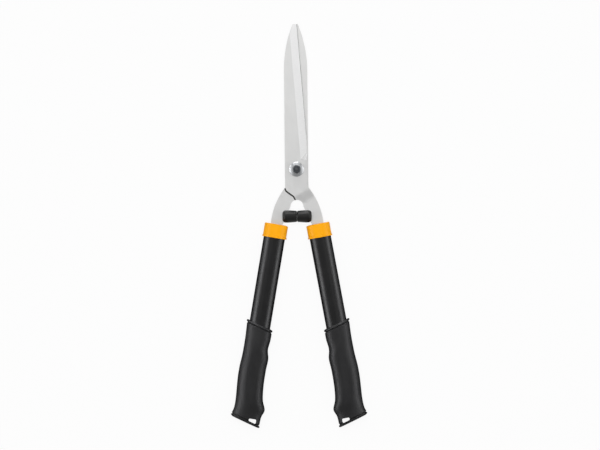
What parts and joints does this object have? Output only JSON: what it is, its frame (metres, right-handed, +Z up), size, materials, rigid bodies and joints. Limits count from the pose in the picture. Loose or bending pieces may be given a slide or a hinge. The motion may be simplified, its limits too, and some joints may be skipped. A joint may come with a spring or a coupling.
{
  "type": "hedge shears",
  "caption": "Two-handed hedge shears: straight blades crossing at a bolted pivot, joggled necks with rubber bumpers, collars, oval tubes and moulded grips with hang holes.",
  "frame": {"origin": "bottom centre of the closed shears lying flat: halfway along and across them, on the surface that the grips rest on", "axes": "+Y along the shears towards the tips of the blades, +X across them towards the half with the upper blade's handle, +Z up, out of the face with the nut"},
  "size_m": [0.1922, 0.5694, 0.026],
  "materials": {
    "blade_steel": "satin ground steel with a brighter ground bevel",
    "bolt_steel": "blackened steel",
    "washer_steel": "bright zinc plated spring steel",
    "nylon": "nylon locking ring",
    "bearing": "plain bearing washer",
    "bumper_rubber": "black moulded rubber",
    "collar_plastic": "smooth orange plastic",
    "tube_paint": "semi-gloss black powder coat",
    "core_plastic": "black nylon",
    "pin_steel": "plain steel",
    "grip_plastic": "soft black plastic with a fine matt grain"
  },
  "bodies": {
    "lower_half": {"lower_blade": "blade_steel", "pivot_bolt": "bolt_steel", "pivot_nut": "bolt_steel", "nut_locking_ring": "nylon", "upper_washer": "washer_steel", "lower_washer": "washer_steel", "bearing_washer": "bearing", "bumper_left": "bumper_rubber", "collar_left": "collar_plastic", "tube_left": "tube_paint", "tang_core_left": "core_plastic", "tang_pin_left": "pin_steel", "grip_left": "grip_plastic"},
    "upper_half": {"upper_blade": "blade_steel", "bumper_right": "bumper_rubber", "collar_right": "collar_plastic", "tube_right": "tube_paint", "tang_core_right": "core_plastic", "tang_pin_right": "pin_steel", "grip_right": "grip_plastic"}
  },
  "joints": [
    {"name": "blade_pivot", "type": "hinge", "parent": "lower_half", "child": "upper_half", "pos_m": [0, 0.07974, 0.013], "axis": [0, 0, 1], "range_deg": [0, 70]}
  ]
}
